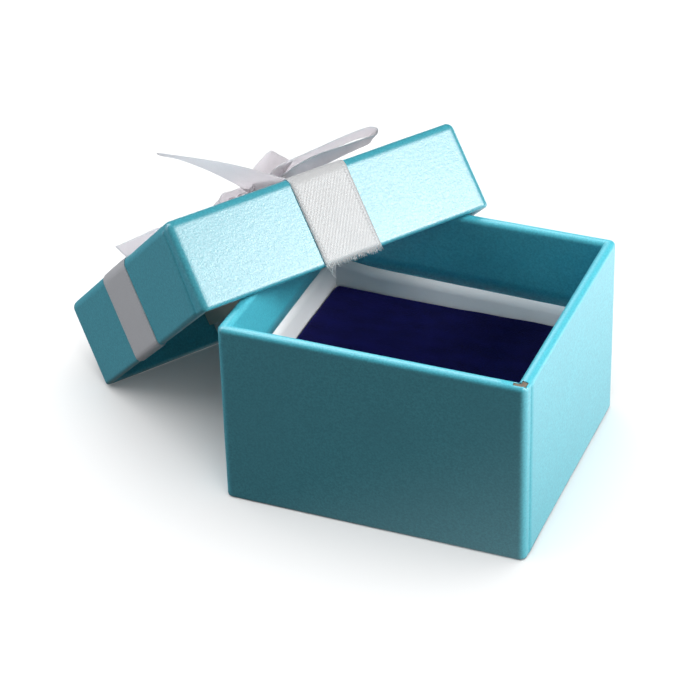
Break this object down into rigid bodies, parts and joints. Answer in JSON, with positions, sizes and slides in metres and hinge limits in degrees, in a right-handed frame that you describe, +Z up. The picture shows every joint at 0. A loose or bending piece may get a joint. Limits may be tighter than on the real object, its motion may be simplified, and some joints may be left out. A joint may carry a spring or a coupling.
{
  "type": "jewelry gift box",
  "caption": "Small two-piece rigid gift box, lid leaning open against the base, satin ribbon and bow on the lid, dark velvet pad inside.",
  "frame": {"origin": "centre of the base's underside, where the box stands", "axes": "+Z up; +X along the base's front wall, to the right; +Y from the front wall to the back wall"},
  "size_m": [0.1022, 0.0817, 0.0564],
  "materials": {
    "greyboard": "uncoated greyboard",
    "kraft_tape": "gummed kraft paper",
    "pearl_paper": "pearlescent, fine grain, light teal",
    "white_liner": "matt, white",
    "navy_velvet": "short pile velvet, dark navy",
    "foam": "soft charcoal foam",
    "satin_ribbon": "white satin, fine weave",
    "clear_tape": "thin, slightly yellow",
    "hot_glue": "milky hot-melt"
  },
  "bodies": {
    "base": {"base_tray_board": "greyboard", "base_corner_stays": "kraft_tape", "base_wrap_paper": "pearl_paper", "base_bottom_sheet": "white_liner", "base_wall_liner": "white_liner", "base_floor_liner": "white_liner"},
    "pad": {"pad_velvet": "navy_velvet", "pad_foam": "foam", "pad_card_base": "greyboard"},
    "lid": {"lid_tray_board": "greyboard", "lid_corner_stays": "kraft_tape", "lid_wrap_paper": "pearl_paper", "lid_wall_liner": "white_liner", "lid_top_liner": "white_liner", "ribbon_lengthwise": "satin_ribbon", "ribbon_crosswise": "satin_ribbon", "ribbon_end_tapes": "clear_tape", "bow_knot": "satin_ribbon", "bow_loop_right": "satin_ribbon", "bow_loop_top": "satin_ribbon", "bow_loop_left": "satin_ribbon", "bow_tail_front": "satin_ribbon", "bow_tail_left": "satin_ribbon", "bow_glue_dot": "hot_glue"}
  },
  "joints": [
    {"name": "lid_lift", "type": "slide", "parent": "base", "child": "lid", "axis": [0, 0, 1], "range_m": [0, 0.06]},
    {"name": "pad_lift", "type": "slide", "parent": "base", "child": "pad", "axis": [0, 0, 1], "range_m": [0, 0.015]}
  ]
}
